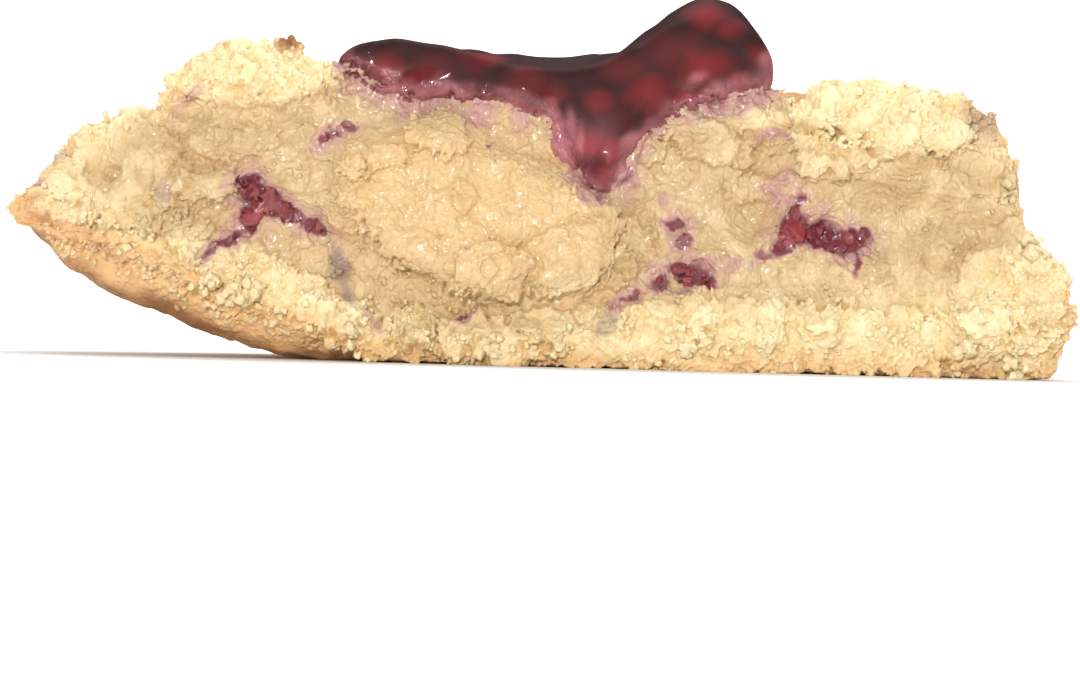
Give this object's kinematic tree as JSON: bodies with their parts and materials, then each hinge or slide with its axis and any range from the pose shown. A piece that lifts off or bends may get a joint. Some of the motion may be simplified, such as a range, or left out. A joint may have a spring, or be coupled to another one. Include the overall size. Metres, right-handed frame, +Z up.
{
  "type": "jam cookie",
  "caption": "Half of a thick jam cookie, broken across, with pale crumb, browned crust and glossy red berry jam in its dented top.",
  "frame": {"origin": "middle of the base's box, on the surface that the half lies on", "axes": "+X along the broken face, to the right as it is looked at; +Y from the broken face to the round back; +Z up"},
  "size_m": [0.0898, 0.0485, 0.0314],
  "materials": {
    "dough": "pale golden crumb, moist towards the middle, with a browned crust",
    "jam": "glossy dark red berry jam"
  },
  "bodies": {
    "root": {"dough": "dough", "jam": "jam", "jam_vein_left": "jam", "jam_vein_middle": "jam", "jam_vein_right": "jam", "jam_streak_upper": "jam"}
  },
  "joints": []
}
